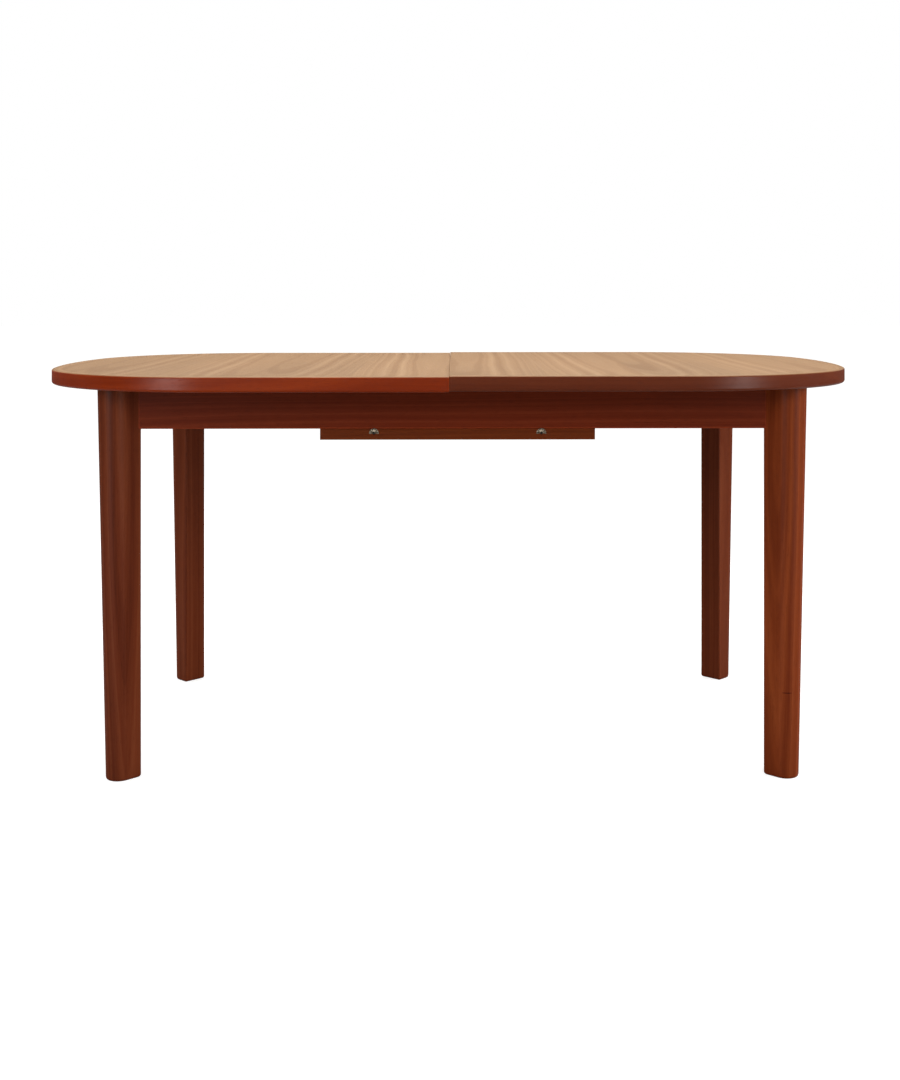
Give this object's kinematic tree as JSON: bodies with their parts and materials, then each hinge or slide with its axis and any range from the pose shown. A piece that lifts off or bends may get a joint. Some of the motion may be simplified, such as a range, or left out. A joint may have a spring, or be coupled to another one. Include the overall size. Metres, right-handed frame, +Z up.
{
  "type": "extending dining table",
  "caption": "Extending teak dining table: rounded oval top split at a seam, halves sliding out over an apron frame on tapered legs.",
  "frame": {"origin": "on the floor, under the middle of the closed top", "axes": "+Z up, X along the table's length with +X to the right, -Y to the front"},
  "size_m": [1.54, 0.92, 0.73],
  "materials": {
    "teak_top": "satin oiled teak, straight grain",
    "teak_lipping_left": "satin oiled teak, orange red",
    "teak_lipping_right": "satin oiled teak, darker red brown",
    "teak_apron": "satin oiled teak, dark red brown",
    "teak_leg": "satin oiled solid teak",
    "beech": "plain planed beech",
    "plywood": "plain birch plywood",
    "zinc_steel": "zinc plated",
    "clip_steel": "bright, a little tarnished",
    "dark_steel": "blackened",
    "brass": "dull brass"
  },
  "bodies": {
    "frame": {"leg_front_left": "teak_leg", "leg_front_right": "teak_leg", "leg_rear_left": "teak_leg", "leg_rear_right": "teak_leg", "apron_front": "teak_apron", "apron_rear": "teak_apron", "apron_left": "teak_apron", "apron_right": "teak_apron", "corner_block_front_left": "beech", "corner_block_front_right": "beech", "corner_block_rear_left": "beech", "corner_block_rear_right": "beech", "leg_bolts": "zinc_steel", "leg_washers": "zinc_steel", "leg_wing_nuts": "zinc_steel", "rail_screws": "zinc_steel", "strip_screws": "zinc_steel", "guide_rail_front": "beech", "guide_rail_rear": "beech", "stop_plugs": "beech", "strip_front": "teak_apron", "strip_rear": "teak_apron", "strip_clips": "clip_steel", "clip_screws": "dark_steel", "tray_board": "plywood", "leaf_board_lower": "teak_top", "leaf_board_upper": "teak_top", "leaf_hinge_lower": "brass", "leaf_hinge_upper": "brass", "leaf_hinge_pins": "zinc_steel", "leaf_hinge_screws": "brass"},
    "left_half": {"top_left": "teak_top", "lipping_left": "teak_lipping_left", "runner_left_front": "beech", "runner_left_rear": "beech", "runner_screws_left": "zinc_steel", "seam_dowels": "beech"},
    "right_half": {"top_right": "teak_top", "lipping_right": "teak_lipping_right", "runner_right_front": "beech", "runner_right_rear": "beech", "runner_screws_right": "zinc_steel"}
  },
  "joints": [
    {"name": "left_half_slide", "type": "slide", "parent": "frame", "child": "left_half", "axis": [-1, 0, 0], "range_m": [0, 0.25]},
    {"name": "right_half_slide", "type": "slide", "parent": "frame", "child": "right_half", "axis": [1, 0, 0], "range_m": [0, 0.25]}
  ]
}
